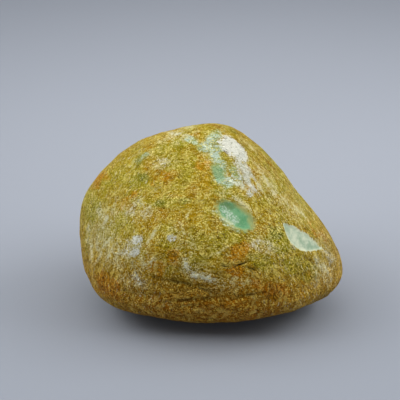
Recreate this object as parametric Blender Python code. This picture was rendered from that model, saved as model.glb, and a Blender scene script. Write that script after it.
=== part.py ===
"""A jadeite pebble: one water-worn stone with a weathered skin, resting on a small flat spot.

The stone is a closed solid given by one formula. From a point inside it, its heart, every
direction has one distance to the skin. River wear left broad, nearly flat faces that pass into
each other in round edges, so the distance is a soft version of "the nearest of the worn faces".
A few swellings and hollows are laid over that: the saddle on the right, the nose, the left foot,
and the two shallow scoops where the green stone shows through the skin.
"""

import bmesh
import bpy
import numpy as np

# Everything is in metres. X runs along the stone from its broad left end to its nose, Y from
# front to back and Z up. The origin is on the surface that the stone rests on, under the middle
# of the stone's box.
HEART = (0.0, -0.0021, 0.0280)

# How quickly one worn face gives way to the next. A higher number makes sharper edges.
EDGE_SHARPNESS = 11

# Each face that wear left: the way it looks, in degrees round from +X towards +Y and in degrees
# up, and its distance from the heart. The stone is 80 mm long, 65 mm deep and 61 mm high.
WORN_FACES = {
    "rest spot": (0, -90, 0.0302),
    "underside, right": (0, -70, 0.0335),
    "underside, left": (180, -70, 0.0335),
    "underside, back": (88, -56, 0.0340),
    "front foot, left": (246, -62, 0.0325),
    "front foot, right": (292, -62, 0.0319),
    "left foot": (212, -47, 0.0441),
    "right foot": (317, -55, 0.0390),
    "upper front": (268, 52, 0.0302),
    "upper front, left": (236, 36, 0.0323),
    "upper front, right": (304, 34, 0.0316),
    "front": (276, 20, 0.0305),
    "lower front": (264, -14, 0.0307),
    "left front": (216, 8, 0.0356),
    "right front": (318, 8, 0.0358),
    "left end, upper": (170, 12, 0.0463),
    "left end, lower": (184, -12, 0.0418),
    "left shoulder": (157, 38, 0.0353),
    "crown, left": (123, 60, 0.0304),
    "crown, right": (72, 66, 0.0331),
    "right slope, near side": (354, 42, 0.0276),
    "right slope": (30, 43, 0.0282),
    "right slope, far side": (46, 20, 0.0309),
    "nose, upper": (4, 18, 0.0340),
    "nose, lower": (346, -20, 0.0472),
    "nose, back": (20, -30, 0.0424),
    "back, upper": (104, 40, 0.0345),
    "back": (84, 16, 0.0350),
    "back, lower": (98, -16, 0.0355),
    "back left": (134, 10, 0.0391),
    "back left, lower": (150, -24, 0.0431),
    "back right": (52, -12, 0.0365),
}

# Swellings, and hollows where the height is negative: the way each looks from the heart, in
# degrees as above, its height, its half-length and half-width in degrees seen from the heart,
# and how far its length is turned anticlockwise from level, seen from outside.
SWELLINGS = {
    "saddle": (9, 12, -0.0019, 40, 18, -8),
    "nose": (356, -24, 0.0025, 17, 17, 0),
    "left foot": (188, -32, 0.0008, 17, 17, 0),
    "scoop over the green window": (286, 28, -0.0007, 13, 8, -40),
    "scoop over the pale window": (324, 8, -0.0006, 12, 7, -44),
}

# The mesh starts as a ball of triangles, each side of which is halved this many times less one.
BALL_SUBDIVISIONS = 5

# The ochre skin that covers most of the stone.
SKIN_COLOUR = (0.30, 0.21, 0.06, 1.0)
SKIN_ROUGHNESS = 0.55


def toward(azimuth, elevation):
    """The unit direction that looks so many degrees round from +X and so many degrees up."""
    a, e = np.radians(azimuth), np.radians(elevation)
    return np.array([np.cos(e) * np.cos(a), np.cos(e) * np.sin(a), np.sin(e)])


def worn_distance(directions):
    """The distance to the soft meeting of all worn faces, for each row of unit directions.

    A flat face h away that looks along n is met at the distance h / (n . d), so its nearness is
    (n . d) / h. The nearest face has the highest nearness. Adding the nearnesses up, each raised
    to the power EDGE_SHARPNESS, and taking that root of the sum rounds the edges between faces.
    """
    nearness = np.zeros(len(directions))
    for azimuth, elevation, distance in WORN_FACES.values():
        facing = np.maximum(directions @ toward(azimuth, elevation), 0.0)
        nearness += (facing / distance) ** EDGE_SHARPNESS
    return nearness ** (-1.0 / EDGE_SHARPNESS)


def swelling(directions, azimuth, elevation, height, half_length, half_width, turn):
    """How far one swelling lifts the skin: its height times a bell curve of the distance from it.

    The distance is measured along and across the swelling, each divided by its half-size. The
    cosine of the angle from its middle lets it fade out before the other side of the stone.
    """
    middle = toward(azimuth, elevation)
    level = toward(azimuth + 90, 0)
    upward = np.cross(middle, level)
    turn = np.radians(turn)
    along = directions @ (np.cos(turn) * level + np.sin(turn) * upward)
    across = directions @ (np.cos(turn) * upward - np.sin(turn) * level)
    off = (along / np.radians(half_length)) ** 2 + (across / np.radians(half_width)) ** 2
    return height * np.maximum(directions @ middle, 0.0) * np.exp(-off)


def skin_points(directions):
    """The point of the skin in each direction from the heart."""
    distance = worn_distance(directions)
    for values in SWELLINGS.values():
        distance = distance + swelling(directions, *values)
    return np.array(HEART) + directions * distance[:, None]


def cut_flat_underneath(stone):
    """Cuts the stone at the level that it rests on, and closes the cut with one flat face."""
    everything = stone.verts[:] + stone.edges[:] + stone.faces[:]
    bmesh.ops.bisect_plane(
        stone,
        geom=everything,
        dist=1e-7,
        plane_co=(0, 0, 0),
        plane_no=(0, 0, -1),
        clear_outer=True,
    )
    rim = [edge for edge in stone.edges if edge.is_boundary]
    bmesh.ops.contextual_create(stone, geom=rim)


def skin_material():
    """Weathered ochre skin with a dull, waxy shine."""
    material = bpy.data.materials.new("weathered_skin")
    material.use_nodes = True
    shader = material.node_tree.nodes["Principled BSDF"]
    shader.inputs["Base Color"].default_value = SKIN_COLOUR
    shader.inputs["Roughness"].default_value = SKIN_ROUGHNESS
    shader.inputs["Metallic"].default_value = 0.0
    return material


def make_pebble():
    """The stone as one closed solid, with its flat spot at the origin's level."""
    stone = bmesh.new()
    bmesh.ops.create_icosphere(stone, subdivisions=BALL_SUBDIVISIONS, radius=1.0)
    directions = np.array([vertex.co.normalized() for vertex in stone.verts])
    for vertex, point in zip(stone.verts, skin_points(directions)):
        vertex.co = point
    cut_flat_underneath(stone)
    bmesh.ops.recalc_face_normals(stone, faces=stone.faces)
    mesh = bpy.data.meshes.new("pebble")
    stone.to_mesh(mesh)
    stone.free()
    mesh.shade_smooth()
    mesh.set_sharp_from_angle(angle=np.radians(40))
    mesh.materials.append(skin_material())
    pebble = bpy.data.objects.new("pebble", mesh)
    bpy.context.scene.collection.objects.link(pebble)
    return pebble


for leftover in list(bpy.data.objects):
    bpy.data.objects.remove(leftover)
make_pebble()
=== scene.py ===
# %% [markdown]
# # A jadeite pebble
# Jadeite boulders weather from the outside in. The grey-green stone keeps a skin of ochre,
# olive and rust, and where a river or a finger has rubbed that skin away, the green shows in
# small polished windows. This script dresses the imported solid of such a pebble. It first loads
# the solid as a fixed frame, and keeps its box to compare with the finished stone.

# %% Load the solid
import math

import bpy
import numpy as np
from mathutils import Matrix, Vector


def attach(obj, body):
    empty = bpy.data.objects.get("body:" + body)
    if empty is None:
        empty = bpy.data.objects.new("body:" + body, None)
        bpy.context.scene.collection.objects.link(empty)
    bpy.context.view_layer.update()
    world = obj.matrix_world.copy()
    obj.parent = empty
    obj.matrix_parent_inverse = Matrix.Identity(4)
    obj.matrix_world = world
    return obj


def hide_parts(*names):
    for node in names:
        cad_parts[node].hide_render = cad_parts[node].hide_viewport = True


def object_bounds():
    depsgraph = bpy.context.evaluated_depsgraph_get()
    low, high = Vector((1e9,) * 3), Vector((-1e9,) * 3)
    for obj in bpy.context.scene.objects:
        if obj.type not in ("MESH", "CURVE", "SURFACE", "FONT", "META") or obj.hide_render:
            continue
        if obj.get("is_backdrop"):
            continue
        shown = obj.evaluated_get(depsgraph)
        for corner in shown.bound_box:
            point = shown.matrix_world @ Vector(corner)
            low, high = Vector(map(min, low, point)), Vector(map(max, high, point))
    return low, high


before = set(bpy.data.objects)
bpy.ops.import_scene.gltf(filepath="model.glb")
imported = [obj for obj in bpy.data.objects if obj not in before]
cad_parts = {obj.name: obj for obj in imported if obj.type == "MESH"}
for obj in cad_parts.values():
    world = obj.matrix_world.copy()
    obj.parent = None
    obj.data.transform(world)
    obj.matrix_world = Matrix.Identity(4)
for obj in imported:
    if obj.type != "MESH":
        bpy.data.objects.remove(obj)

solid_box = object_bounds()
# Lengths are in metres. What is printed or read off the photograph is in millimetres.
MILLI = 1000.0
print("solid box in mm:", [[round(MILLI * c, 1) for c in corner] for corner in solid_box])

# %% [markdown]
# ## The form of the stone
# The solid is faceted, and its facets would show in a close view. The skin is therefore
# worked out again from the same formula and the same values, on a much finer net. Seen from a
# point inside the stone, its heart, each direction has one distance to the skin: a soft version
# of "the nearest of the worn faces", plus a few broad swellings and hollows.

# %% The values of the form, as in the solid
HEART = np.array((0.0, -0.0021, 0.0280))
EDGE_SHARPNESS = 11
# Each worn face: degrees round from +X towards +Y, degrees up, distance from the heart.
WORN_FACES = {
    "rest spot": (0, -90, 0.0302),
    "underside, right": (0, -70, 0.0335),
    "underside, left": (180, -70, 0.0335),
    "underside, back": (88, -56, 0.0340),
    "front foot, left": (246, -62, 0.0325),
    "front foot, right": (292, -62, 0.0319),
    "left foot": (212, -47, 0.0441),
    "right foot": (317, -55, 0.0390),
    "upper front": (268, 52, 0.0302),
    "upper front, left": (236, 36, 0.0323),
    "upper front, right": (304, 34, 0.0316),
    "front": (276, 20, 0.0305),
    "lower front": (264, -14, 0.0307),
    "left front": (216, 8, 0.0356),
    "right front": (318, 8, 0.0358),
    "left end, upper": (170, 12, 0.0463),
    "left end, lower": (184, -12, 0.0418),
    "left shoulder": (157, 38, 0.0353),
    "crown, left": (123, 60, 0.0304),
    "crown, right": (72, 66, 0.0331),
    "right slope, near side": (354, 42, 0.0276),
    "right slope": (30, 43, 0.0282),
    "right slope, far side": (46, 20, 0.0309),
    "nose, upper": (4, 18, 0.0340),
    "nose, lower": (346, -20, 0.0472),
    "nose, back": (20, -30, 0.0424),
    "back, upper": (104, 40, 0.0345),
    "back": (84, 16, 0.0350),
    "back, lower": (98, -16, 0.0355),
    "back left": (134, 10, 0.0391),
    "back left, lower": (150, -24, 0.0431),
    "back right": (52, -12, 0.0365),
}
# Each swelling: degrees round and up, height, half-length and half-width in degrees, turn.
SWELLINGS = {
    "saddle": (9, 12, -0.0019, 40, 18, -8),
    "nose": (356, -24, 0.0025, 17, 17, 0),
    "left foot": (188, -32, 0.0008, 17, 17, 0),
    "scoop over the green window": (286, 28, -0.0007, 13, 8, -40),
    "scoop over the pale window": (324, 8, -0.0006, 12, 7, -44),
}


def toward(azimuth, elevation):
    """The unit direction that looks so many degrees round from +X and so many degrees up."""
    a, e = np.radians(azimuth), np.radians(elevation)
    return np.array([np.cos(e) * np.cos(a), np.cos(e) * np.sin(a), np.sin(e)])


def swelling(directions, azimuth, elevation, height, half_length, half_width, turn):
    """Height times a bell curve of the distance along and across the swelling, each divided by
    its half-size, times the cosine of the angle from its middle."""
    middle = toward(azimuth, elevation)
    level = toward(azimuth + 90, 0)
    upward = np.cross(middle, level)
    turn = np.radians(turn)
    along = directions @ (np.cos(turn) * level + np.sin(turn) * upward)
    across = directions @ (np.cos(turn) * upward - np.sin(turn) * level)
    off = (along / np.radians(half_length)) ** 2 + (across / np.radians(half_width)) ** 2
    return height * np.maximum(directions @ middle, 0.0) * np.exp(-off)


def skin_distance(directions):
    """(sum over the faces of (facing / distance) ** p) ** (-1 / p), plus the swellings."""
    nearness = np.zeros(len(directions))
    for azimuth, elevation, distance in WORN_FACES.values():
        facing = np.maximum(directions @ toward(azimuth, elevation), 0.0)
        nearness += (facing / distance) ** EDGE_SHARPNESS
    reach = nearness ** (-1.0 / EDGE_SHARPNESS)
    return reach + sum(swelling(directions, *values) for values in SWELLINGS.values())


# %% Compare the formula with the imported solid
# Corners lower than this belong to the flat spot, which the formula doesn't have.
FLAT_SPOT_TOP = 0.0001
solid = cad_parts["pebble"]
corners = np.zeros(3 * len(solid.data.vertices))
solid.data.vertices.foreach_get("co", corners)
corners = corners.reshape(-1, 3) - HEART
above = corners[corners[:, 2] > FLAT_SPOT_TOP - HEART[2]]
reach = np.linalg.norm(above, axis=1)
gap = np.abs(reach - skin_distance(above / reach[:, None]))
print("largest gap between the formula and the solid: %.4f mm" % (MILLI * gap.max()))

# %% [markdown]
# ## A net round the stone
# A ball made of rings pinches at its poles, and every pattern in its mesh shows there. A cube
# blown up to a ball has no poles. Each of its six sides is a square grid, so the whole net comes
# from one small formula, and the same grids give a clean flat layout for a baked picture of the
# stone: six squares, three across and two up.

# %% A net of six grids
GRID = 128
LAYOUT_MARGIN = 0.012
LAYOUT_SQUARES = (3, 2)
MERGED_DECIMALS = 6
# For each side of the cube: the way it faces, its right and its up, seen from outside.
SIDES = [
    ((1, 0, 0), (0, 1, 0), (0, 0, 1)),
    ((-1, 0, 0), (0, -1, 0), (0, 0, 1)),
    ((0, 1, 0), (-1, 0, 0), (0, 0, 1)),
    ((0, -1, 0), (1, 0, 0), (0, 0, 1)),
    ((0, 0, 1), (1, 0, 0), (0, 1, 0)),
    ((0, 0, -1), (1, 0, 0), (0, -1, 0)),
]


def cube_net(count):
    """Directions, four-sided faces and a flat layout for a cube blown up to a ball.

    On a side that faces f with right r and up u, the grid point (s, t), with s and t from -45 to
    45 degrees, looks along f + tan(s) r + tan(t) u. Points on shared edges are merged.
    """
    angle = np.tan(np.radians(np.linspace(-45, 45, count)))
    s, t = np.meshgrid(angle, angle, indexing="ij")
    first = np.arange(count * count).reshape(count, count)
    square = np.stack([first[:-1, :-1], first[1:, :-1], first[1:, 1:], first[:-1, 1:]], -1)
    square = square.reshape(-1, 4)
    step = np.linspace(LAYOUT_MARGIN, 1 - LAYOUT_MARGIN, count)
    flat = np.stack(np.meshgrid(step, step, indexing="ij"), -1).reshape(-1, 2)
    points, faces, layout = [], [], []
    for side, (facing, right, up) in enumerate(SIDES):
        facing, right, up = np.array([facing, right, up], float)
        points.append((facing + s[..., None] * right + t[..., None] * up).reshape(-1, 3))
        faces.append(square + side * count * count)
        cell = np.array([side % LAYOUT_SQUARES[0], side // LAYOUT_SQUARES[0]])
        layout.append(((flat + cell) / LAYOUT_SQUARES)[square])
    points = np.concatenate(points)
    points /= np.linalg.norm(points, axis=1)[:, None]
    rounded = np.round(points, MERGED_DECIMALS)
    _, kept, merged = np.unique(rounded, axis=0, return_index=True, return_inverse=True)
    faces = merged.reshape(-1)[np.concatenate(faces)]
    return points[kept], faces, np.concatenate(layout)


directions, faces, layout = cube_net(GRID)
smooth_skin = HEART + directions * skin_distance(directions)[:, None]
print(len(directions), "points and", 2 * len(faces), "triangles")

# %% [markdown]
# ## Chance that repeats
# Weathering is irregular, but a script has to make the same stone every time. Both kinds of
# noise below come from a hash, which turns the whole-number cell that a point lies in into a
# settled number. The first gives soft hills: a random slope at each corner of the cell, blended
# in between. The second gives grains: one random seed point in each cell, and the distance to
# the nearest of them.

# %% Noise
FADE = (6.0, -15.0, 10.0)
HILL_GAIN = 1.6
OCTAVE_SALT = 11
# Large odd numbers and shifts that stir the 64 bits of a cell's number. Its highest bits are kept.
AXIS_MIXERS = np.array([0x9E3779B97F4A7C15, 0xC2B2AE3D27D4EB4F, 0x165667B19E3779F9], np.uint64)
SALT_MIXER = 7919
STIRRER = np.uint64(0xBF58476D1CE4E5B9)
STIR_SHIFTS = (29, 32, 27)
KEPT_BITS = 24


def settled(cells, salt):
    """A number from 0 to 1 for each row of whole numbers, always the same for the same salt."""
    mixed = cells.astype(np.int64).astype(np.uint64) * AXIS_MIXERS
    mixed = mixed[..., 0] ^ mixed[..., 1] ^ mixed[..., 2] ^ np.uint64(salt * SALT_MIXER + 1)
    for shift in STIR_SHIFTS:
        mixed = (mixed ^ (mixed >> np.uint64(shift))) * STIRRER
    return (mixed >> np.uint64(64 - KEPT_BITS)).astype(float) / 2**KEPT_BITS


def hills(points, size, salt):
    """Soft noise from about -1 to 1. size is the width of a cell, in metres.

    Each corner of a cell has a random slope g, which gives g . (p - corner) at the point p. The
    eight values are blended with weights 6 w^5 - 15 w^4 + 10 w^3 of the place w in the cell.
    """
    scaled = points / size
    cell = np.floor(scaled)
    place = scaled - cell
    weight = place**3 * (FADE[0] * place**2 + FADE[1] * place + FADE[2])
    total = np.zeros(len(points))
    for corner in np.ndindex(2, 2, 2):
        corner = np.array(corner)
        slope = [2 * settled(cell + corner, 3 * salt + k) - 1 for k in range(3)]
        share = np.prod(np.where(corner == 1, weight, 1 - weight), axis=1)
        total += share * np.einsum("kn,nk->n", np.array(slope), place - corner)
    return HILL_GAIN * total


def rough_hills(points, size, octaves, salt):
    """Soft noise with finer and finer hills on it, each octave half as wide and half as high."""
    return sum(hills(points, size / 2**k, salt + OCTAVE_SALT * k) / 2**k for k in range(octaves))


def grains(points, size, salt):
    """The distance to the nearest seed, in cell widths, and that seed's own number."""
    scaled = points / size
    cell = np.floor(scaled)
    nearest = np.full(len(points), np.inf)
    number = np.zeros(len(points))
    for step in np.ndindex(3, 3, 3):
        other = cell + np.array(step) - 1
        seed = other + np.stack([settled(other, 5 * salt + k) for k in range(3)], -1)
        away = np.linalg.norm(scaled - seed, axis=1)
        closer = away < nearest
        nearest = np.where(closer, away, nearest)
        number = np.where(closer, settled(other, 5 * salt + 3), number)
    return nearest, number


# %% [markdown]
# ## The camera
# The photograph looks down on the stone by about 26 degrees, from straight in front. The camera
# comes before the markings, because they are placed by where they are seen.

# %% Camera
PICTURE = 400
PIXEL = 0.000304
VIEW_DOWN = math.radians(26)
VIEW_DISTANCE = 0.6
HEART_SEEN_AT = (210.5, 222.0)
FILM = 36.0
NEAREST_SEEN = 0.05
camera = bpy.data.objects.new("camera", bpy.data.cameras.new("camera"))
bpy.context.scene.collection.objects.link(camera)
bpy.context.scene.camera = camera
seen_right = np.array((1.0, 0.0, 0.0))
seen_up = np.array((0.0, math.sin(VIEW_DOWN), math.cos(VIEW_DOWN)))
to_camera = np.array((0.0, -math.cos(VIEW_DOWN), math.sin(VIEW_DOWN)))
camera.location = HEART + VIEW_DISTANCE * to_camera
camera.rotation_euler = (math.pi / 2 - VIEW_DOWN, 0.0, 0.0)
camera.data.sensor_width = FILM
camera.data.lens = FILM * VIEW_DISTANCE / (PICTURE * PIXEL)
camera.data.shift_x = (PICTURE / 2 - HEART_SEEN_AT[0]) / PICTURE
camera.data.shift_y = (HEART_SEEN_AT[1] - PICTURE / 2) / PICTURE
camera.data.clip_start = NEAREST_SEEN
print("lens %.1f mm" % camera.data.lens)

# %% [markdown]
# ## Where the markings are
# Each marking is read off the photograph as an ellipse or a leaf: its middle in pixels from the
# picture's top left corner, its half-length and half-width in millimetres, and how far its
# length is turned anticlockwise from level. Along the line of sight the ellipse lies on the
# stone's surface, so it follows the stone round its edges, and a limit on its depth keeps it off
# the far side. Its value is the distance inside its edge in millimetres, negative outside, and
# where several markings of one kind meet, the highest value counts. A last value, the cover,
# caps the distance, which later lets the flecks of a thin marking stand apart.

# %% Markings read off the photograph
MARKINGS = {
    # The large window, where polished jade shows.
    "window": {
        "green window": (236.0, 215.5, 7.0, 3.5, -34, 3.0),
    },
    # Frosty white in the large window: partly white crystals, partly a painted highlight.
    "frost_and_highlight": {
        "frost on the green window": (230.0, 216.0, 3.0, 1.3, -45, 0.9),
        "frost, lower end": (233.0, 220.5, 1.8, 1.0, -40, 0.9),
    },
    # Mossy green at its rim.
    "moss": {
        "right end": (252.5, 222.0, 2.0, 1.0, -60, 0.1),
        "upper right": (244.5, 208.5, 3.8, 1.1, -36, 0.9),
    },
    # The narrow window, a leaf: it has two half-widths.
    "pale_window": {
        "pale window": (303.5, 236.0, 7.4, 1.1, 4.2, -34, 3.0),
    },
    # Thick white crust.
    "white": {
        "ridge patch": (234.5, 148.0, 5.2, 2.0, -44, 2.0),
        "ridge patch, lower end": (243.0, 157.0, 1.8, 1.0, -40, 0.8),
        "left of the ridge patch": (226, 149, 3.6, 0.7, -50, 0.5),
        "white spot, upper": (137.5, 240, 1.7, 1.3, 30, 0.16),
        "white spot, lower": (134.5, 252.5, 1.5, 1.1, 20, 0.16),
        "grey spot": (171.5, 238, 1.3, 1.0, 0, 0.0),
    },
    # Thin grey crust.
    "grey": {
        "white speckle above the green window": (235, 181.5, 3.0, 1.3, -28, 1.2),
        "flecks on the shoulder": (178, 134, 2.4, 0.8, -10, 0.5),
        "pale speckle, upper left": (162, 163, 2.6, 1.3, 0, 0.0),
        "cloud, left": (133, 207, 2.8, 2.1, 40, -0.1),
        "cloud, left, second": (147, 213, 1.9, 1.6, 80, -0.1),
        "cloud at the left edge": (103, 214, 2.5, 1.6, 80, -0.4),
        "halo of the white spots": (131, 248, 3.3, 2.3, 40, 0.35),
        "vein, upper": (187, 266, 2.6, 0.9, -65, 0.1),
        "vein, lower": (201, 276.5, 3.0, 0.9, -12, 0.0),
        "bluish spot": (139, 279, 2.6, 1.2, -45, 0.3),
        "speckle between the windows": (262, 246, 3.4, 1.5, -15, 0.0),
        "below the pale window": (293, 246, 1.0, 0.6, -40, 0.6),
        "tail of the pale window": (328, 256, 3.0, 1.0, -62, 0.5),
        "nose speckle, lower": (324, 285, 2.6, 1.3, 10, -0.3),
    },
    # Ash-white crust.
    "ash": {
        "band below the ridge patch": (246, 174.5, 6.2, 1.9, -58, 0.9),
        "tip of the band": (251, 192, 1.6, 1.0, 50, 0.8),
    },
    # Narrow streaks of light crystals.
    "wisps": {
        "left, outermost": (91, 252, 3.2, 0.45, -85, 0.4),
        "left, top": (97, 242, 1.4, 0.40, 80, 0.5),
        "left, short": (105, 244, 1.6, 0.40, 50, 0.5),
        "left, long": (99.5, 257, 2.8, 0.40, 60, 0.5),
        "left, inner": (109, 255, 2.5, 0.40, 62, 0.4),
        "left, innermost": (118, 252, 1.8, 0.35, 66, 0.3),
        "left, upper": (104, 222, 2.0, 0.40, 60, 0.3),
        "left, at the edge": (88, 228, 2.4, 0.35, 84, 0.3),
        "left, high": (113, 208, 1.6, 0.35, 62, 0.3),
        "middle left": (152, 236, 2.2, 0.35, 56, 0.3),
        "middle left, lower": (150, 262, 2.0, 0.35, 30, 0.3),
        "short streak in the middle": (183, 230, 1.8, 0.35, -65, 0.5),
        "bright stroke in the middle": (187.5, 215, 1.0, 0.35, 60, 0.5),
        "crown": (192, 127, 1.4, 0.35, 5, 0.5),
        "shoulder": (178, 134, 2.0, 0.40, -10, 0.4),
        "shoulder, lower": (166, 140, 1.6, 0.35, 20, 0.3),
        "right slope, first": (256, 165, 2.4, 0.35, -50, 0.3),
        "right slope, second": (264, 176, 2.6, 0.35, -52, 0.4),
        "right slope, third": (272, 190, 2.6, 0.35, -54, 0.4),
        "right slope, fourth": (262, 190, 2.0, 0.35, -58, 0.3),
        "right slope, fifth": (284, 200, 2.2, 0.35, -48, 0.3),
        "right slope, high": (250, 146, 2.6, 0.35, -42, 0.3),
        "right slope, edge": (301, 213, 2.4, 0.40, -44, 0.4),
        "nose, upper": (318, 262, 1.8, 0.35, -60, 0.3),
        "nose, lower": (326, 270, 1.6, 0.35, -70, 0.3),
        "vein, upper": (187, 266, 2.6, 0.50, -65, 0.3),
        "vein, lower": (200, 276, 2.8, 0.45, -14, 0.2),
        "above the cracks": (222, 250, 1.6, 0.30, 30, 0.2),
        "above the green window": (243, 204, 3.4, 0.5, -36, 0.4),
        "edge of the sage strip": (236, 184, 2.4, 0.5, -30, 0.5),
    },
    # Thin white veils.
    "veil": {
        "left side": (104, 228, 6.8, 4.8, 76, 2.4),
        "left side, lower": (118, 255, 5.0, 4.0, 40, 0.8),
        "round the clouds": (137, 211, 4.4, 3.0, 20, 1.0),
        "round the white spots": (136, 250, 4.0, 3.4, 50, 1.0),
        "middle": (182, 240, 5.0, 3.0, -60, 0.2),
        "round the vein": (195, 272, 5.4, 2.6, -30, 1.0),
        "low in the middle": (228, 284, 5.4, 2.0, 6, 0.6),
        "right slope": (268, 183, 7.0, 2.6, -52, 1.0),
        "right slope, low": (291, 208, 5.0, 2.0, -46, 0.8),
        "nose": (322, 272, 4.4, 3.2, -60, 1.0),
        "crown": (180, 138, 5.4, 1.8, 12, 0.8),
        "upper left": (160, 163, 4.2, 2.4, 0, 0.8),
        "between the windows": (264, 246, 4.4, 2.4, -15, 0.3),
        "low left": (128, 282, 3.6, 2.0, -40, 0.6),
        "above the green window": (230, 196, 4.2, 1.2, -14, 1.2),
        "left of the ridge patch": (215, 160, 6.0, 3.4, -64, 1.6),
        "upper edge of the nose": (326, 246, 5.0, 2.0, -60, 1.2),
        "low left, second": (145, 262, 4.6, 3.0, 0, 1.0),
    },
    # Pale green, where the jade is close under the skin.
    "mint": {
        "ridge, upper": (213, 137, 3.1, 1.5, 25, 1.0),
        "ridge, left": (207, 146, 2.4, 1.8, 0, 0.9),
        "ridge, middle": (219, 146, 2.2, 1.6, -40, 0.6),
        "ridge, lower": (215, 155.5, 3.6, 1.6, -62, 1.3),
        "ridge, arm": (193, 141, 2.6, 0.9, -22, 0.5),
        "ridge, pale spot": (206, 147, 1.6, 1.3, 0, 1.3),
        "ridge, second pale spot": (215, 137, 1.8, 1.0, 30, 1.3),
        "ridge, third pale spot": (213, 156, 1.8, 1.0, -60, 1.3),
        "below the patch": (221, 164.5, 2.6, 1.3, -60, 1.1),
        "sage strip": (225, 181, 4.2, 1.6, -14, 1.3),
        "left of the band": (236, 174, 2.6, 1.2, -50, 0.6),
        "lower edge of the green window": (228, 222, 4.0, 0.9, -40, 0.9),
        "upper left": (142.5, 157.5, 2.2, 0.8, 36, 0.3),
    },
    # Green, where the skin is worn right through.
    "green": {
        "green patch": (217.5, 172.5, 2.8, 1.6, -62, 1.8),
    },
    # Dark green stains.
    "dark_green": {
        "left": (144, 178, 1.6, 1.4, 0, 0.8),
        "middle left": (161, 203, 1.6, 1.0, 10, 0.8),
        "middle": (183, 201, 2.0, 0.9, 6, 0.3),
        # Partly painted shade: the dark upper left edge of the green window, under the edge of the
        # skin.
        "upper left of the green window": (225, 204, 3.4, 1.1, -22, 0.8),
        "between the windows": (276, 232, 2.6, 1.6, -40, 0.6),
    },
    # Rust stains.
    "rust": {
        "left of the green patch": (202, 164, 2.6, 1.6, -10, 0.1),
        "left shoulder": (98, 180, 3.4, 1.7, 50, 1.2),
        "left, short": (129, 201, 1.6, 0.5, 50, 0.8),
        "left, faint": (158, 178, 2.6, 2.0, 0, -0.5),
        "below the green window": (239, 251, 3.6, 2.7, 60, 1.5),
        "under the cracks": (236, 271.5, 2.7, 1.5, 0, 1.8),
        "low, right of the middle": (270, 289, 5.2, 2.0, -6, 1.2),
        "above the pale window": (317, 231, 3.6, 1.2, -48, -0.1),
        "lower left corner": (110, 286, 5.0, 3.0, -40, 0.9),
        "low left": (157, 269, 2.2, 2.2, 0, 0.4),
        "left of the vein": (173, 257, 2.2, 2.2, 0, 0.4),
    },
    # Olive stains.
    "olive": {
        "smooth spot on the shoulder": (180, 146, 4.2, 1.6, 0, 1.6),
        "round the dark green spot": (141, 180, 3.2, 2.6, 0, 1.0),
        "left edge": (94, 213, 3.4, 2.0, 85, 1.4),
        "left edge, lower": (88, 240, 3.0, 1.2, 85, 1.0),
        "right of the green window": (279, 242, 5.0, 3.2, -40, 1.6),
        "below the green window": (262, 262, 4.0, 2.0, -20, 0.2),
        "nose": (300, 268, 5.6, 3.6, -20, 0.8),
        "above the middle": (170, 203, 5.4, 1.8, 0, 0.8),
        "above the green window": (226, 194, 4.6, 1.2, -12, 0.8),
        "top edge": (160, 150, 3.4, 1.6, 30, 0.6),
    },
    # Fine open cracks.
    "crack": {
        "crack, left": (224.5, 266.5, 1.3, 0.30, -8, 0.3),
        "crack, long": (241, 264.5, 2.5, 0.34, 18, 0.3),
        "crack, right": (252, 269, 1.6, 0.32, -16, 0.3),
        "line beside the ridge patch": (225, 150.5, 1.5, 0.26, -45, 0.3),
    },
    # Soft folds.
    "crease": {
        "left": (180, 283.5, 5.4, 0.60, -12, 0.5),
        "right": (207, 291.0, 4.6, 0.55, -16, 0.5),
        "lower": (188, 300, 6.0, 0.50, 4, 0.4),
        "low right": (246, 296, 5.0, 0.50, 12, 0.4),
        "nose": (304, 274, 3.4, 0.50, 24, 0.1),
        "nose, second": (312, 261, 2.6, 0.45, -24, 0.4),
        "below the windows": (280, 262, 3.4, 0.40, 12, -0.1),
    },
}

# %% How far inside a marking each point lies
LEAF_SHAPED = ("pale_window",)
# In millimetres: the lowest value of a marking, how near its middle the surface's depth is
# read, and the depth that every marking may reach, to which a few half-lengths are added.
OUTSIDE_CAP = -3.0
NEAR_MIDDLE = 1.0
LEAST_DEPTH = 4.0
DEPTH_PER_LENGTH = 3.0
away = MILLI * (smooth_skin - HEART)
distance_to_camera = MILLI * VIEW_DISTANCE - away @ to_camera
shrink = MILLI * VIEW_DISTANCE / distance_to_camera
seen = np.stack([away @ seen_right, away @ seen_up], -1) * shrink[:, None]
depth = away @ to_camera


def from_middle(column, row, length, turn):
    """Millimetres along and across one marking, and the depth as a share of its reach."""
    middle = np.array((column - HEART_SEEN_AT[0], HEART_SEEN_AT[1] - row)) * MILLI * PIXEL
    offset = seen - middle
    near = np.where(np.hypot(*offset.T) < NEAR_MIDDLE, depth, -MILLI)
    turn = math.radians(turn)
    along = offset @ (math.cos(turn), math.sin(turn))
    across = offset @ (-math.sin(turn), math.cos(turn))
    return along, across, (depth - near.max()) / (DEPTH_PER_LENGTH * length + LEAST_DEPTH)


def patch(column, row, half_length, half_width, turn, cover):
    """(1 - square root of (along^2 + across^2 + into^2), each by its half-size) x half-width."""
    along, across, into = from_middle(column, row, half_length, turn)
    off = np.sqrt((along / half_length) ** 2 + (across / half_width) ** 2 + into**2)
    return np.clip((1.0 - off) * half_width, OUTSIDE_CAP, cover)


def leaf(column, row, half_length, above, below, turn, cover):
    """Half-width x (1 - (along / half-length)^2) - |across|, with one half-width above the
    middle line and another below it."""
    along, across, into = from_middle(column, row, half_length, turn)
    width = np.where(across > 0, above, below)
    value = width * (1.0 - (along / half_length) ** 2) - np.abs(across) - width * into**2
    return np.clip(value, OUTSIDE_CAP, cover)


def highest(shape, markings):
    """The highest value of several markings of one kind."""
    return np.max([shape(*values) for values in markings.values()], axis=0)


fields = {kind: highest(leaf if kind in LEAF_SHAPED else patch, markings)
          for kind, markings in MARKINGS.items()}
print(sum(map(len, MARKINGS.values())), "markings of", len(fields), "kinds")

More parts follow.
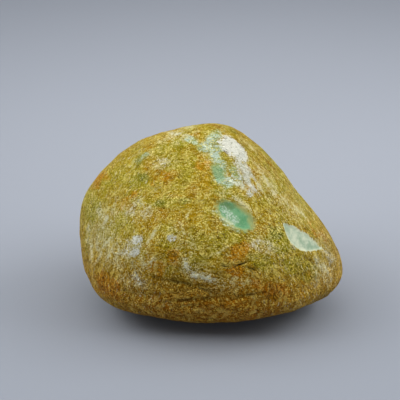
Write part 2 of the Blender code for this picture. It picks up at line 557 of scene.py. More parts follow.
# %% [markdown]
# ## The sides that the photograph doesn't show
# The weathering goes on round the stone. Markings of the same kinds and sizes are scattered
# there by a fixed seed, each an ellipse on the stone's own surface, and they fade out before
# they reach what the photograph shows.

# %% Markings on the hidden sides
SEED = 26
# For each kind: how many, the half-length and half-width in millimetres, and the cover.
SCATTERED = {
    "grey": (22, 2.8, 1.4, 0.0),
    "ash": (3, 4.2, 1.5, 0.3),
    "wisps": (44, 2.0, 0.36, 0.2),
    "veil": (16, 5.4, 3.2, 1.0),
    "mint": (9, 3.2, 1.7, 0.5),
    "green": (3, 2.2, 1.2, 0.8),
    "dark_green": (6, 2.0, 1.2, 0.7),
    "rust": (20, 4.0, 2.6, 0.2),
    "olive": (14, 4.6, 2.4, 1.2),
    "crack": (5, 2.4, 0.30, 0.3),
    "crease": (9, 4.6, 0.5, 0.4),
}
SIZE_RANGE = (0.6, 1.3)
# A scattered marking reaches this many half-lengths into the stone.
INWARD_REACH = 2
# A scattered marking loses this many millimetres times (facing x rise + start), kept from 0 to
# 1, where facing is 0 at the edge of what the camera sees and 1 where the skin looks at it.
FADE_TO_FRONT = 8.0
FACING_RISE, FACING_START = 3, 0.4


def outward_normals(points, faces):
    """The sum of the normals of the faces that meet at each point, made one long."""
    a, b, c, d = (points[faces[:, k]] for k in range(4))
    across = np.cross(c - a, d - b)
    normals = np.stack([np.bincount(faces.ravel(), np.repeat(across[:, k], 4), len(points))
                        for k in range(3)], -1)
    return normals / np.linalg.norm(normals, axis=1)[:, None]


facing = outward_normals(smooth_skin, faces) @ to_camera
to_front = FADE_TO_FRONT * np.clip(facing * FACING_RISE + FACING_START, 0, 1)
chance = np.random.default_rng(SEED)
for kind, (count, half_length, half_width, cover) in SCATTERED.items():
    for _ in range(count):
        middle = chance.normal(size=3)
        middle /= np.linalg.norm(middle)
        if middle @ to_camera > 0:
            middle -= 2 * (middle @ to_camera) * to_camera
        level = np.cross((0, 0, 1), middle)
        level /= np.linalg.norm(level)
        turn, size = chance.uniform(0, np.pi), chance.uniform(*SIZE_RANGE)
        length_way = np.cos(turn) * level + np.sin(turn) * np.cross(middle, level)
        offset = MILLI * (smooth_skin - HEART - middle * skin_distance(middle[None]))
        along = offset @ length_way / (size * half_length)
        across = offset @ np.cross(middle, length_way) / (size * half_width)
        into = offset @ middle / (INWARD_REACH * half_length)
        value = (1 - np.sqrt(along**2 + across**2 + into**2)) * half_width
        value = np.clip(value - to_front, OUTSIDE_CAP, cover)
        fields[kind] = np.maximum(fields[kind], value)
for name, values in fields.items():
    print(name, "covers", int((values > 0).sum()), "points")

# %% [markdown]
# ## Relief
# Up close the skin isn't smooth. It undulates, each grain of the rock stands a little proud,
# there are pits where grains fell out and fine crevices between flakes. All of this is moved
# into the net as real relief, a few hundredths to a few tenths of a millimetre. Low on the
# stone, bedding in the rock stands out as level ledges. A noise below is given by the width of
# its cells in metres and its salt, and a soft change by where it starts and where it is in full.

# %% Grains, pits, crevices and ledges
BEND_REACH, BEND_SIZE, BEND_SALTS = 0.0012, 0.005, (71, 72, 73)
GRAINS, GRAIN_VARIETY = (0.0013, 3), 0.4
PITS, PIT_CHOSEN, PIT_EDGE = (0.0036, 4), (0.66, 0.76), (0.40, 0.10)
FLAKY, FLAKY_STEP = (0.011, 21), (0.0, 0.4)
CREVICES, CREVICE_STRETCH, CREVICE_WIDTH = (0.0055, 22), (0.6, 0.6, 1.5), 0.06
LEDGES, LEDGE_STRETCH, LEDGE_SHARPNESS = (0.0050, 31), (0.35, 0.35, 1.0), 2.2
LEDGES_BELOW = (0.026, 0.014)


def ramp(value, start, full):
    """0 up to start, 1 from full on, and 3 t^2 - 2 t^3 of the place t in between. With full
    below start, the ramp goes down."""
    t = np.clip((value - start) / (full - start), 0.0, 1.0)
    return t * t * (3.0 - 2.0 * t)


above_floor = smooth_skin[:, 2]
push = np.stack([hills(smooth_skin, BEND_SIZE, salt) for salt in BEND_SALTS], -1)
bent = smooth_skin + BEND_REACH * push
grain_away, grain_number = grains(bent, *GRAINS)
# A grain is highest at its seed, and some grains stand higher than others.
grain_height = 0.5 - grain_away + GRAIN_VARIETY * (grain_number - 0.5)
pit_away, pit_number = grains(bent, *PITS)
pits = ramp(pit_number, *PIT_CHOSEN) * ramp(pit_away, *PIT_EDGE)
# A crevice runs where a noise passes through zero: e^-(noise / width)^2, on flaky skin alone.
crevices = np.exp(-((hills(bent * CREVICE_STRETCH, *CREVICES) / CREVICE_WIDTH) ** 2))
crevices = crevices * ramp(hills(smooth_skin, *FLAKY), *FLAKY_STEP)
ledges = 1 - np.abs(hills(bent * LEDGE_STRETCH, *LEDGES)) * LEDGE_SHARPNESS
ledges = ledges * ramp(above_floor, *LEDGES_BELOW)
print("pits on %.1f and crevices on %.1f percent of the net"
      % (100 * (pits > 0.5).mean(), 100 * (crevices > 0.5).mean()))

# %% [markdown]
# ## Add up the relief
# The windows are rubbed smooth and lie a little below the skin, so there the relief fades and
# the ground sinks. Cracks and folds cut in, crusts stand out. The flat spot underneath stays
# flat, because the stone rests on it: the relief starts just above it, and what the formula has
# below the floor is drawn back to it, towards the heart.

# %% Relief of the skin
UNDULATION, UNDULATING = 0.00030, (0.013, 5)
# The rough skin has three octaves, the number in the middle.
ROUGHNESS, ROUGH, RUBBED_AWAY = 0.00014, (0.0045, 3, 6), 0.85
GRAIN_HEIGHT = 0.00010
PIT_DEPTH = 0.00014
CREVICE_DEPTH = 0.00014
LEDGE_HEIGHT = 0.00036
CRUST_HEIGHT, CRUSTS, CRUST_SLOPE = 0.00008, ("grey", "white", "ash", "wisps"), (-0.3, 0.3)
CRACK_DEPTH, CRACK_SLOPE = 0.00040, (-0.35, 0.12)
CREASE_DEPTH, CREASE_SLOPE = 0.00042, (-0.6, 0.4)
CREASE_FRAY, FRAYING = 0.5, (0.0022, 8)
WINDOW_DEPTH = 0.00045
WINDOW_SLOPES = {"window": (-0.4, 1.0), "pale_window": (-0.2, 0.5)}
FREE_ABOVE = (0.0, 0.0015)
polished = np.max([ramp(fields[kind], *slope) for kind, slope in WINDOW_SLOPES.items()], axis=0)
crust = ramp(np.max([fields[kind] for kind in CRUSTS], axis=0), *CRUST_SLOPE)
frayed = fields["crease"] + CREASE_FRAY * hills(bent, *FRAYING)
relief = GRAIN_HEIGHT * grain_height + LEDGE_HEIGHT * ledges + CRUST_HEIGHT * crust
relief -= PIT_DEPTH * pits + CREVICE_DEPTH * crevices
relief *= 1 - polished
relief += (1 - RUBBED_AWAY * polished) * ROUGHNESS * rough_hills(bent, *ROUGH)
relief += UNDULATION * hills(smooth_skin, *UNDULATING) - WINDOW_DEPTH * polished
relief -= CRACK_DEPTH * ramp(fields["crack"], *CRACK_SLOPE)
relief -= CREASE_DEPTH * ramp(frayed, *CREASE_SLOPE)
print("relief from %.2f to %.2f mm" % (MILLI * relief.min(), MILLI * relief.max()))

# %% The finished surface
free = ramp(above_floor, *FREE_ABOVE)
skin = HEART + directions * (skin_distance(directions) + free * relief)[:, None]
below = above_floor < 0
to_floor = -HEART[2] / directions[below, 2]
skin[below] = HEART + directions[below] * to_floor[:, None]
skin[:, 2] = np.maximum(skin[:, 2], 0.0)
fields["hollow"] = np.clip(np.maximum(pits, crevices) * (1 - polished), 0, 1) * free
print(int(below.sum()), "points on the flat spot")


# %% Put the skin into a mesh
def make_mesh(name, points, faces, layout, fields):
    """A mesh of four-sided faces with a flat layout and one number per point for each field."""
    mesh = bpy.data.meshes.new(name)
    mesh.from_pydata(points, [], faces)
    mesh.shade_smooth()
    uv = mesh.uv_layers.new(name="OFBake")
    uv.data.foreach_set("uv", layout.astype(np.float32).ravel())
    for field, values in fields.items():
        attribute = mesh.attributes.new(field, "FLOAT", "POINT")
        attribute.data.foreach_set("value", values.astype(np.float32))
    mesh.update()
    piece = bpy.data.objects.new(name, mesh)
    bpy.context.scene.collection.objects.link(piece)
    return piece


stone = make_mesh("pebble_skin", skin, faces, layout, fields)
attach(stone, "root")
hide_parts("pebble")
print(stone.name, "has", len(stone.data.polygons), "faces and", len(fields), "fields")

# %% [markdown]
# ## A small set of tools for materials
# A material is a net of nodes. Written out one by one, the nodes would fill pages, so a few
# helpers add them: each takes numbers or other nodes' outputs and gives back its own output.
# Colours are laid over each other in coats, like thin paint. A coat is a colour and the most
# that it covers, from 0 to 1.

# %% Helpers that add nodes
stone_material = bpy.data.materials.new("weathered_jadeite")
stone_material.use_nodes = True
tree = stone_material.node_tree
shader = tree.nodes["Principled BSDF"]


def put(socket, value):
    """Joins an output to a socket, or sets the socket to a number or a colour."""
    if isinstance(value, bpy.types.NodeSocket):
        tree.links.new(value, socket)
    else:
        socket.default_value = value


def node(kind, inputs=(), output=0, **settings):
    """Adds one node with its settings and its inputs in order, and gives back one output."""
    made = tree.nodes.new("ShaderNode" + kind)
    for name, value in settings.items():
        setattr(made, name, value)
    for place, value in dict(inputs).items():
        put(made.inputs[place], value)
    return made.outputs[output]


def calc(operation, *values):
    """One sum: ADD, SUBTRACT, MULTIPLY, MAXIMUM, ABSOLUTE and so on."""
    return node("Math", enumerate(values), operation=operation)


def times(value, number):
    """A value multiplied by a number or by another value."""
    return calc("MULTIPLY", value, number)


def total(first, *more):
    """Several values added up."""
    for value in more:
        first = calc("ADD", first, value)
    return first


def centred(value, reach):
    """(value - 1/2) x reach: a noise from 0 to 1 becomes a push to either side."""
    return times(calc("SUBTRACT", value, 0.5), reach)


def between(share, low, high):
    """low + (high - low) x share."""
    return calc("MULTIPLY_ADD", share, high - low, low)


def soft_step(value, low, high):
    """0 where the value is at low, 1 where it is at high, and a soft rise in between. With low
    above high, the step goes down."""
    values = {"Value": value, "From Min": low, "From Max": high}
    return node("MapRange", values, interpolation_type="SMOOTHSTEP")


# %% Helpers for colours
def blend(share, below, above, mode="MIX"):
    """Colour above over colour below, by a share from 0 to 1."""
    made = {0: share, 6: below, 7: above}
    return node("Mix", made, output=2, data_type="RGBA", blend_type=mode)


def colour(red, green, blue):
    """A colour given as it looks on a screen, 0 to 255, turned into the light it stands for: v /
    12.92 for a very dark v, and ((v + 0.055) / 1.055) ^ 2.4 for the rest."""
    light = [(c / 255 / 12.92 if c <= 10 else ((c / 255 + 0.055) / 1.055) ** 2.4)
             for c in (red, green, blue)]
    return (*light, 1.0)


def coat(red, green, blue, most):
    """A coat: a colour as it looks on a screen, and the most that it covers."""
    return colour(red, green, blue), most


def over(below, laid, where):
    """A tone with a coat laid over it, as far as a share from 0 to 1 lets it show."""
    above, most = laid
    return blend(times(where, most), below, above)


# %% Helpers for patterns
place = node("TexCoord", output=3)


def field(name):
    """A number stored with each point of the net."""
    return node("Attribute", output=2, attribute_name=name)


def cloud(size, detail, rough, offset, where=None, output=0):
    """Fractal noise from 0 to 1 whose largest spots are about size metres wide."""
    where = where or place
    if offset:
        where = node("VectorMath", {0: where, 1: (offset, offset, offset)}, operation="ADD")
    values = {"Vector": where, "Scale": 1.0 / size, "Detail": detail, "Roughness": rough}
    return node("TexNoise", values, output=output)


def warped(noise, reach):
    """The place on the stone, pushed about by a noise, in metres."""
    push = node("VectorMath", {0: cloud(*noise, output=1), "Scale": reach}, operation="SCALE")
    return node("VectorMath", {0: place, 1: push}, operation="ADD")


def kernels(size, where, output=0):
    """Cells about size metres wide: the distance to the nearest seed, or its own colour."""
    return node("TexVoronoi", {"Vector": where, "Scale": 1.0 / size}, output=output)


def seed_number(size, where, channel=0):
    """The random number of the nearest seed. It has three: red, green and blue of its colour."""
    return node("SeparateColor", {0: kernels(size, where, output=1)}, output=channel)


def few_seeds(number, size, where, chosen, core):
    """The cores of the few seeds whose number is high."""
    return times(soft_step(number, *chosen), soft_step(kernels(size, where), *core))


# %% [markdown]
# ## Grain, fibres and edges
# The skin is a felt of tiny crystals, a third to half a millimetre across. Cells give each
# crystal its own number. The rock is also foliated: its crystals lie in thin layers that stand
# nearly upright, face the front and bend back at both ends of the stone. Where the surface cuts
# the layers, they show as short wavy fibres, level on the front, steep on the left and slanting
# down the right. Noise gives them, in coordinates that are shrunk along the layers, so it is
# stretched that way. The number of each spot, its speckle, adds up coarse grain, fine grain and
# fibres. A noise below is four values: its size in metres, detail, roughness and offset.

# %% Grain and mottling
COARSE_GRAIN = 0.00047
FINE_GRAIN = 0.00029
WARP, WARP_REACH = (0.0012, 2.0, 0.6, 0.0), 0.0009
MOTTLE = (0.0028, 5.0, 0.66, 0.3)
bent_place = warped(WARP, WARP_REACH)
coarse_seed = seed_number(COARSE_GRAIN, bent_place)
fine_seed, glint_seed = (seed_number(FINE_GRAIN, bent_place, channel) for channel in (1, 2))
mottle = cloud(*MOTTLE)

# %% Layers and speckle
WAVE, WAVE_REACH = (0.0060, 2.0, 0.5, 0.9), 0.0040
LAYER_TILT = 0.30
LAYER_BEND = 18.0
ALONG_LAYERS = 0.28
FIBRE, FIBRE_STEP = (0.00055, 3.0, 0.62, 0.0), (0.28, 0.72)
STREAK = (0.0013, 4.0, 0.65, 0.4)
COARSE_SHARE, FINE_SHARE, FIBRE_SHARE = 0.26, 0.46, 0.28
wavy_place = warped(WAVE, WAVE_REACH)
layer_x, layer_y, layer_z = (node("SeparateXYZ", {0: wavy_place}, output=k) for k in range(3))
# The number of a layer: y + tilt z + bend x^2.
through = total(layer_y, times(layer_z, LAYER_TILT), times(times(layer_x, layer_x), LAYER_BEND))
layers = node("CombineXYZ", {0: times(layer_x, ALONG_LAYERS), 1: through,
                             2: times(layer_z, ALONG_LAYERS)})
fibres = soft_step(cloud(*FIBRE, layers), *FIBRE_STEP)
streaks = cloud(*STREAK, layers)
speckle = total(times(coarse_seed, COARSE_SHARE), times(fine_seed, FINE_SHARE),
                times(fibres, FIBRE_SHARE))

# %% Edges that wander and break up
# An edge moves by this many millimetres from a noise's lowest value to its highest.
WANDER = 6.0
RAGGED, RAGGEDNESS = (0.0012, 3.0, 0.6, 7.0), 2.4
wander = centred(mottle, WANDER)
ragged = centred(cloud(*RAGGED), RAGGEDNESS)


def stain(name, soft, drift):
    """How strongly a marking stains the skin: 0 outside, 1 inside, with a soft wandering edge."""
    return soft_step(total(field(name), times(wander, drift)), -soft, soft)


def broken(name, wavy, grainy, soft):
    """How strongly a crust covers the skin, with an edge that wanders and follows the grains."""
    edge = total(field(name), times(ragged, wavy), centred(speckle, grainy))
    return soft_step(edge, -soft, soft)


print(len(tree.nodes), "nodes make the grain, the fibres and the edges")

# %% [markdown]
# ## The ochre skin
# Iron in the skin runs from olive through gold to brown. Noises at different sizes choose
# between the tones, so no patch of the stone repeats another. Low on the stone, where damp soil
# held it, the skin is browner, and the two ends are painted a little paler: painted light on the
# ends of the stone. Over that lie the stains: olive, rust, dark green, and a pale mint where
# the jade is close under the skin.

# %% Ground tones
GOLD = colour(206, 164, 18)
OLIVE_TONE = colour(190, 170, 26)
UMBER = colour(84, 58, 2)
CREAM = colour(255, 240, 132)
GROUND, GROUND_STEP = (0.010, 3.0, 0.6, 1.7), (0.38, 0.62)
OCHRE, OCHRE_PATCH, OCHRE_STEP = coat(194, 134, 4, 0.70), (0.0050, 4.0, 0.6, 2.9), (0.48, 0.72)
DAMP, DAMP_BELOW = coat(200, 112, 2, 0.85), (0.036, 0.010)
# Painted light: the two ends of the stone are painted paler.
ENDS_PAINTED_LIGHT, ENDS_PAINTED_LIGHT_BEYOND = coat(240, 214, 60, 0.25), (0.014, 0.034)
height = node("SeparateXYZ", {0: place}, output=2)
endwards = calc("ABSOLUTE", node("SeparateXYZ", {0: place}))
low_down = soft_step(height, *DAMP_BELOW)
tone = blend(soft_step(cloud(*GROUND), *GROUND_STEP), GOLD, OLIVE_TONE)
tone = over(tone, OCHRE, soft_step(cloud(*OCHRE_PATCH), *OCHRE_STEP))
tone = over(tone, DAMP, low_down)
tone = over(tone, ENDS_PAINTED_LIGHT, soft_step(endwards, *ENDS_PAINTED_LIGHT_BEYOND))

# %% Stains
RUST_HIGH, RUST_LOW, RUST_COVER = colour(250, 156, 4), colour(206, 108, 6), 0.62
# For each stain, from the lowest up: how soft its edge is, how far it wanders, and its coat.
STAINS = {
    "olive": (0.9, 1.0, coat(172, 168, 26, 0.60)),
    "rust": (0.9, 1.0, (blend(low_down, RUST_HIGH, RUST_LOW), RUST_COVER)),
    "dark_green": (0.6, 0.4, coat(104, 124, 34, 0.60)),
    "mint": (0.7, 0.6, coat(168, 202, 128, 0.60)),
}
stains = {}
for name, (soft, drift, laid) in STAINS.items():
    stains[name] = stain(name, soft, drift)
    tone = over(tone, laid, stains[name])
rust, dark_green, mint = (stains[name] for name in ("rust", "dark_green", "mint"))

# %% Streaks, hollows and lines between the layers
LIGHT_STREAK, LIGHT_STREAK_STEP = (CREAM, 0.40), (0.50, 0.68)
DARK_STREAK, DARK_STREAK_STEP = (UMBER, 0.35), (0.44, 0.28)
HOLLOW_SHADE = (UMBER, 0.35)
LINE, LINE_WIDTH = (UMBER, 0.35), 0.030
LINES_BELOW, FEWEST_LINES = (0.036, 0.020), 0.2
tone = over(tone, LIGHT_STREAK, soft_step(streaks, *LIGHT_STREAK_STEP))
tone = over(tone, DARK_STREAK, soft_step(streaks, *DARK_STREAK_STEP))
# Painted shade: the pits and crevices are painted darker.
tone = over(tone, HOLLOW_SHADE, field("hollow"))
# A dark wavy line shows where one layer ends and the next begins, mostly low on the stone.
off_line = calc("ABSOLUTE", calc("SUBTRACT", streaks, 0.5))
lines = times(soft_step(off_line, LINE_WIDTH, 0.0),
              between(soft_step(height, *LINES_BELOW), FEWEST_LINES, 1.0))
tone = over(tone, LINE, lines)
print(len(tree.nodes), "nodes with the ochre skin")

# %% [markdown]
# ## Crystals on the skin
# Everywhere light crystals lie over the skin like a fine felt: few of them on plain skin, more
# under a thin white veil, and most where the grey crust, the mint or a wisp is. So these
# markings lift the numbers of the grains, and rust lowers them: a grain is light when its number
# is high then, and dark when it is low. A soft noise lifts some groups of grains and lowers
# others, so the crystals come in clusters. Each marking also tints the light grains.

# %% Veil, crust and wisps
# For each film: how soft its edge is and how far it wanders.
FILMS = {"veil": (1.6, 1.0), "grey": (0.7, 0.6), "wisps": (0.5, 0.35)}
CRUST = coat(184, 180, 128, 0.30)
IN_SHADE = (0.88, 0.88, 0.88, 1.0)
veil, crust, wisps = (stain(name, *edge) for name, edge in FILMS.items())
tone = over(tone, CRUST, crust)
# The skin between the crystals lies in their shade.
tone = blend(1.0, tone, IN_SHADE, "MULTIPLY")

# %% Numbers of the grains
WISP_LIFT, MINT_CORE_LIFT, RUST_LIFT = 0.36, 0.14, -0.09
VEIL_LIFT, CRUST_LIFT, MINT_LIFT = 0.09, 0.12, 0.10
MINT_CORE = (0.3, 1.2)
CLUSTER, CLUSTER_LIFT = (0.0034, 3.0, 0.6, 8.0), 0.40
mint_core = soft_step(field("mint"), *MINT_CORE)
lift = total(times(wisps, WISP_LIFT), times(mint_core, MINT_CORE_LIFT),
             times(rust, RUST_LIFT), centred(cloud(*CLUSTER), CLUSTER_LIFT))
lifted = total(speckle, times(veil, VEIL_LIFT), times(crust, CRUST_LIFT),
               times(mint, MINT_LIFT), lift)

# %% Light and dark grains
HONEY, HONEY_BELOW = colour(246, 208, 88), (0.042, 0.016)
DARK_GRAIN, DARK_BELOW = (UMBER, 0.80), (0.32, 0.22)
LIGHT_ABOVE = (0.60, 0.73)
RELIEF_CONTRAST_ABOVE, RELIEF_CONTRAST_AT_TOP = (0.052, 0.030), 0.68
# The tint that each marking gives the light grains, from the lowest up.
TINTS = [
    (rust, coat(250, 196, 60, 0.7)),
    (veil, coat(253, 242, 182, 0.8)),
    (crust, coat(252, 246, 216, 1.0)),
    (mint, coat(234, 255, 240, 1.0)),
    (wisps, coat(252, 248, 208, 0.8)),
]
light_grain = blend(soft_step(height, *HONEY_BELOW), CREAM, HONEY)
for where, tint in TINTS:
    light_grain = over(light_grain, tint, where)
# Painted light and shade: the grains stand out more on the lower half, as under grazing light.
painted_relief_contrast = between(soft_step(height, *RELIEF_CONTRAST_ABOVE), RELIEF_CONTRAST_AT_TOP, 1.0)
tone = over(tone, DARK_GRAIN, times(soft_step(lifted, *DARK_BELOW), painted_relief_contrast))
shown = times(soft_step(lifted, *LIGHT_ABOVE), calc("MAXIMUM", painted_relief_contrast, crust))
tone = blend(shown, tone, light_grain)

# %% Needles
# Some fibres are bright along their whole length, and longest near both ends of the stone.
LONG_NEEDLE, LONG_CHOSEN, LONG_CORE = 0.00036, (0.86, 0.92), (0.55, 0.28)
LONG_TONE, LONG_BEYOND = coat(255, 248, 196, 0.75), (0.008, 0.024)
NEEDLE, NEEDLE_CHOSEN, NEEDLE_CORE = 0.00042, (0.86, 0.95), (0.60, 0.32)
NEEDLE_ALONG = (1.7, 1.0, 1.7)
NEEDLE_VEIL_LIFT = 0.08
NEEDLE_HIGH, NEEDLE_LOW, NEEDLE_COVER = colour(254, 240, 150), colour(250, 216, 120), 0.80
long_seed = total(seed_number(LONG_NEEDLE, layers), lift)
long_needles = few_seeds(long_seed, LONG_NEEDLE, layers, LONG_CHOSEN, LONG_CORE)
tone = over(tone, LONG_TONE, times(long_needles, soft_step(endwards, *LONG_BEYOND)))
needle_place = node("VectorMath", {0: layers, 1: NEEDLE_ALONG}, operation="MULTIPLY")
needle_seed = total(seed_number(NEEDLE, needle_place), lift, times(veil, NEEDLE_VEIL_LIFT))
needles = few_seeds(needle_seed, NEEDLE, needle_place, NEEDLE_CHOSEN, NEEDLE_CORE)
tone = over(tone, (blend(low_down, NEEDLE_HIGH, NEEDLE_LOW), NEEDLE_COVER), needles)

# %% Painted shade in the creases and at the foot, and painted glints
GROOVE_SHADE, GROOVE_FRAY, GROOVE_EDGE = (UMBER, 0.70), 0.5, (-0.2, 0.4)
FOOT_SHADE, FOOT_SHADE_BELOW = (UMBER, 0.35), (0.014, 0.002)
GLINT_HIGH, GLINT_LOW = colour(255, 240, 150), colour(252, 208, 84)
GLINT_CHOSEN, GLINT_CORE = (0.86, 0.90), (0.55, 0.30)
# Painted shade: the creases are painted darker.
groove_shade = soft_step(total(field("crease"), times(ragged, GROOVE_FRAY)), *GROOVE_EDGE)
tone = over(tone, GROOVE_SHADE, groove_shade)
# Painted shade: the foot of the stone is painted darker towards the floor.
tone = over(tone, FOOT_SHADE, soft_step(height, *FOOT_SHADE_BELOW))
# Here and there a single grain is painted bright: a painted glint.
painted_glints = few_seeds(glint_seed, FINE_GRAIN, bent_place, GLINT_CHOSEN, GLINT_CORE)
tone = blend(times(painted_glints, painted_relief_contrast), tone, blend(low_down, GLINT_HIGH, GLINT_LOW))
print(len(tree.nodes), "nodes with the crystals")

# %% [markdown]
# ## Where the skin is thick or gone
# A band of ash-white crust runs down from the ridge, with dark stripes along it. In one spot the
# skin is worn right through, and smooth green shows. The thickest crust, on the ridge and in a
# few spots, is nearly solid white, and only the darkest grains show in it.

# %% The ash band
BAND_WAY = (0.53, -0.60, -0.60)
BAND_SQUEEZE = -0.85
STRIPE, STRIPE_STEP = (0.0011, 3.0, 0.6, 3.3), (0.36, 0.52)
ASH_EDGE, ASH_COVER, ASH_STEP = (0.5, 1.8, 0.5), 0.90, (0.36, 0.56)
ASH_DULL, ASH_BRIGHT = colour(215, 215, 180), colour(248, 248, 232)
# Shrunk along the band, a noise is stretched that way, and its spots become stripes.
down_band = node("VectorMath", {0: place, 1: BAND_WAY}, output=1, operation="DOT_PRODUCT")
squeeze = node("VectorMath", {0: BAND_WAY, "Scale": times(down_band, BAND_SQUEEZE)},
               operation="SCALE")
squeezed_place = node("VectorMath", {0: place, 1: squeeze}, operation="ADD")
stripes = soft_step(cloud(*STRIPE, squeezed_place), *STRIPE_STEP)
ash_tone = blend(soft_step(speckle, *ASH_STEP), ASH_DULL, ASH_BRIGHT)
tone = over(tone, (ash_tone, ASH_COVER), times(broken("ash", *ASH_EDGE), stripes))

# %% The green patch and the white crust
GREEN_EDGE, GREEN_COVER, GREEN_STEP = (0.6, 0.35), 0.85, (0.4, 0.6)
GREEN_DEEP, GREEN_LIGHT = colour(122, 178, 119), colour(161, 199, 146)
WHITE_EDGE, WHITE_COVER, WHITE_STEP = (0.3, 0.9, 0.2), 0.94, (0.26, 0.18)
WHITE_BRIGHT, WHITE_DULL = colour(255, 255, 238), colour(170, 172, 136)
green_tone = blend(soft_step(streaks, *GREEN_STEP), GREEN_DEEP, GREEN_LIGHT)
tone = over(tone, (green_tone, GREEN_COVER), stain("green", *GREEN_EDGE))
white_tone = blend(soft_step(speckle, *WHITE_STEP), WHITE_BRIGHT, WHITE_DULL)
tone = over(tone, (white_tone, WHITE_COVER), broken("white", *WHITE_EDGE))

# %% [markdown]
# ## The windows
# Both windows are polished jade under a very thin skin. In the large one, teal green passes into
# mossy green under the skin at the rim. Frosty white near its left end is partly white crystals
# and partly a painted highlight, and the dark green along its upper left edge is partly the
# jade's own and partly painted shade under the edge of the skin. The narrow one is nearly white,
# and brighter round its edge. The cracks come last, because they cut through everything.

# %% The green window
JADE, JADE_STEP = (0.0035, 4.0, 0.6, 5.0), (0.35, 0.65)
JADE_DEEP, JADE_LIGHT = colour(84, 157, 111), colour(118, 180, 134)
WINDOW_EDGE, WINDOW_COVER = (-0.5, 0.7), 0.92
MOSS_EDGE, FROST_EDGE, RIM_STEP = (0.9, 0.3), (0.8, 0.3), (0.8, 0.0)
FROST_SHARE, FROST_STEP = 0.48, (-0.06, 0.06)
window = soft_step(total(field("window"), ragged), *WINDOW_EDGE)
frost_and_highlight = stain("frost_and_highlight", *FROST_EDGE)
frost_and_highlight_flecks = soft_step(calc("SUBTRACT", times(frost_and_highlight, FROST_SHARE), fine_seed), *FROST_STEP)
rim = times(soft_step(field("window"), *RIM_STEP), window)
window_tone = blend(soft_step(cloud(*JADE), *JADE_STEP), JADE_DEEP, JADE_LIGHT)
# What lies in and over the jade, from the lowest up.
WINDOW_COATS = [
    (stain("moss", *MOSS_EDGE), coat(192, 184, 112, 0.80)),
    # Dark green at the window's upper left edge: partly the jade's own, partly painted shade.
    (dark_green, coat(92, 120, 74, 0.70)),
    # The frosty white is partly white crystals and partly a painted highlight.
    (frost_and_highlight, coat(158, 184, 160, 0.38)),
    (frost_and_highlight_flecks, coat(206, 224, 206, 0.75)),
    (mint, coat(202, 206, 160, 0.80)),
    (rim, coat(184, 174, 110, 0.60)),
]
for where, laid in WINDOW_COATS:
    window_tone = over(window_tone, laid, where)
tone = over(tone, (window_tone, WINDOW_COVER), window)

# %% The pale window and the cracks
PALE_RAGGED, PALE_EDGE, PALE_COVER = 0.7, (-0.2, 0.2), 0.97
PALE_SHADE, PALE_LIGHT, PALE_STEP = colour(152, 176, 148), colour(206, 214, 186), (0.36, 0.62)
PALE_RIM, PALE_RIM_STEP = coat(226, 230, 196, 0.55), (0.8, 0.1)
CRACK, CRACK_EDGE = coat(44, 28, 0, 0.95), (-0.02, 0.18)
pale = soft_step(total(field("pale_window"), times(ragged, PALE_RAGGED)), *PALE_EDGE)
pale_tone = blend(soft_step(mottle, *PALE_STEP), PALE_SHADE, PALE_LIGHT)
pale_tone = over(pale_tone, PALE_RIM, soft_step(field("pale_window"), *PALE_RIM_STEP))
tone = over(tone, (pale_tone, PALE_COVER), pale)
tone = over(tone, CRACK, soft_step(field("crack"), *CRACK_EDGE))
put(shader.inputs["Base Color"], tone)

# %% [markdown]
# ## Gloss and the finest relief
# Weathered skin is dull and the rubbed windows have a soft polish. Relief finer than the net can
# carry, the single crystals and fibres, is left to a bump, which only tilts the light.

# %% Gloss and bump
DULL_LEAST, DULL_MOST, POLISHED = 0.40, 0.70, 0.22
JADEITE_IOR = 1.5
SPECULAR_LEVEL = 0.06
FINE_BUMP, FIBRE_BUMP, LINE_BUMP = 0.6, 0.5, -0.9
BUMP_HEIGHT, BUMP_ON_WINDOWS = 0.00052, 0.12
polish = calc("MAXIMUM", window, pale)
dull = between(mottle, DULL_LEAST, DULL_MOST)
put(shader.inputs["Roughness"], node("Mix", {0: polish, 2: dull, 3: POLISHED}))
put(shader.inputs["IOR"], JADEITE_IOR)
put(shader.inputs["Specular IOR Level"], SPECULAR_LEVEL)
coarse_height, fine_height = (calc("SUBTRACT", 1.0, kernels(size, bent_place))
                              for size in (COARSE_GRAIN, FINE_GRAIN))
relief_height = total(coarse_height, times(fine_height, FINE_BUMP), times(fibres, FIBRE_BUMP),
                      streaks, times(lines, LINE_BUMP))
bump = node("Bump", {"Strength": between(polish, 1.0, BUMP_ON_WINDOWS),
                     "Distance": BUMP_HEIGHT, "Height": relief_height})
put(shader.inputs["Normal"], bump)
stone.data.materials.append(stone_material)
print(len(tree.nodes), "nodes in all")

# %% [markdown]
# ## Floor and light
# The stone lies on a plain grey paper. The paper runs on far beyond the stone and then turns up
# all round, like a very wide bowl, so every view ends on a clean pale ground. Its colour holds a
# painted pool of light: it is a little lighter round a point behind the stone. Three soft lights
# hang over it, a large one above and a smaller one on either side, turned to the stone. Their
# light falls off towards the walls of the bowl, so far away the paper is given a painted glow of
# its own.

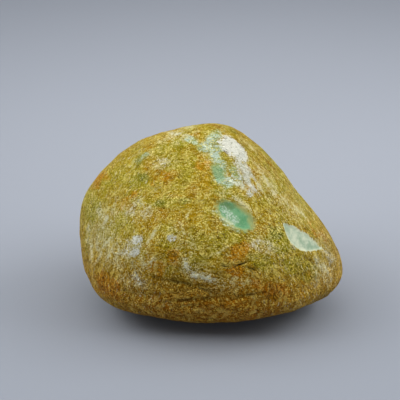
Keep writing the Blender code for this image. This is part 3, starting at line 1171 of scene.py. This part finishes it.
# %% Floor
FLAT_REACH = 0.75
RIM_REACH = 1.6
RIM_HEIGHT = 0.9
RIM_CURVE = 2.5
RING_CROWDING = 1.5
ROUND_STEPS = 96
ROOM_STEPS = 40
radius = np.linspace(0.0, 1.0, ROOM_STEPS + 1)[1:] ** RING_CROWDING * RIM_REACH
uphill = np.clip((radius - FLAT_REACH) / (RIM_REACH - FLAT_REACH), 0, 1)
rise = RIM_HEIGHT * uphill**RIM_CURVE
around = np.linspace(0.0, 2 * np.pi, ROUND_STEPS, endpoint=False)
rings = np.stack([radius[:, None] * np.cos(around), radius[:, None] * np.sin(around),
                  np.repeat(rise[:, None], ROUND_STEPS, axis=1)], -1).reshape(-1, 3)
number = np.arange(len(rings)).reshape(ROOM_STEPS, ROUND_STEPS)
following = np.roll(number, -1, axis=1)
bands = np.stack([number[:-1], number[1:], following[1:], following[:-1]], -1).reshape(-1, 4)
floor_mesh = bpy.data.meshes.new("floor")
floor_mesh.from_pydata(rings, [], [*bands.tolist(), number[0].tolist()])
floor_mesh.shade_smooth()
floor = bpy.data.objects.new("floor", floor_mesh)
bpy.context.scene.collection.objects.link(floor)
print(len(floor_mesh.polygons), "faces in the floor")

# %% Paper with a painted pool of light and a painted glow
PAPER_LIGHT = (0.408, 0.435, 0.493, 1.0)
PAPER_DARK = (0.298, 0.322, 0.370, 1.0)
LIGHTEST_AT, PAINTED_POOL_FALLOFF = (0.02, 0.16, 0.0), (0.03, 0.25)
# Painted light: far from the stone the paper glows by itself.
GLOW_TONE, GLOW, GLOW_BEYOND = (0.88, 0.93, 1.0, 1.0), 0.34, (0.40, 1.05)
PAPER_ROUGHNESS, PAPER_SPECULAR = 0.8, 0.2
floor_material = bpy.data.materials.new("paper_with_painted_light")
floor_material.use_nodes = True
tree = floor_material.node_tree
from_lightest = node("VectorMath", {0: node("TexCoord", output=3), 1: LIGHTEST_AT}, output=1,
                     operation="DISTANCE")
PAPER = {
    "Base Color": blend(soft_step(from_lightest, *PAINTED_POOL_FALLOFF), PAPER_LIGHT, PAPER_DARK),
    "Emission Color": GLOW_TONE,
    "Emission Strength": times(soft_step(from_lightest, *GLOW_BEYOND), GLOW),
    "Roughness": PAPER_ROUGHNESS,
    "Specular IOR Level": PAPER_SPECULAR,
}
for socket, value in PAPER.items():
    put(tree.nodes["Principled BSDF"].inputs[socket], value)
floor_mesh.materials.append(floor_material)
floor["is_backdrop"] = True

# %% Light
# For each soft light: its middle, its length and width, its power in watts, and whether it is
# turned to the stone.
LIGHTS = {
    "top": ((-0.02, -0.025, 0.36), (0.83, 0.56), 1.84, False),
    "left": ((-0.42, -0.05, 0.38), (0.30, 0.46), 1.28, True),
    "right": ((0.42, -0.05, 0.38), (0.30, 0.46), 1.44, True),
}
ROOM_TONE, ROOM_LIGHT = (0.9, 0.95, 1.0, 1.0), 0.03
for name, (middle, size, power, turned) in LIGHTS.items():
    lamp = bpy.data.objects.new(name, bpy.data.lights.new(name, "AREA"))
    lamp.data.shape = "RECTANGLE"
    lamp.data.size, lamp.data.size_y = size
    lamp.data.energy = power
    lamp.location = middle
    lamp.rotation_euler = (0.0, math.atan2(middle[0], middle[2]) if turned else 0.0, 0.0)
    bpy.context.scene.collection.objects.link(lamp)
world = bpy.data.worlds.new("room")
world.use_nodes = True
room = world.node_tree.nodes["Background"].inputs
room["Color"].default_value = ROOM_TONE
room["Strength"].default_value = ROOM_LIGHT
bpy.context.scene.world = world
bpy.context.scene.view_settings.view_transform = "Standard"

# %% Print the sizes and finish
dressed_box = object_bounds()
boxes = {"solid": solid_box, "dressed": dressed_box}
boxes = {name: [list(map(float, corner)) for corner in box] for name, box in boxes.items()}
print(boxes)
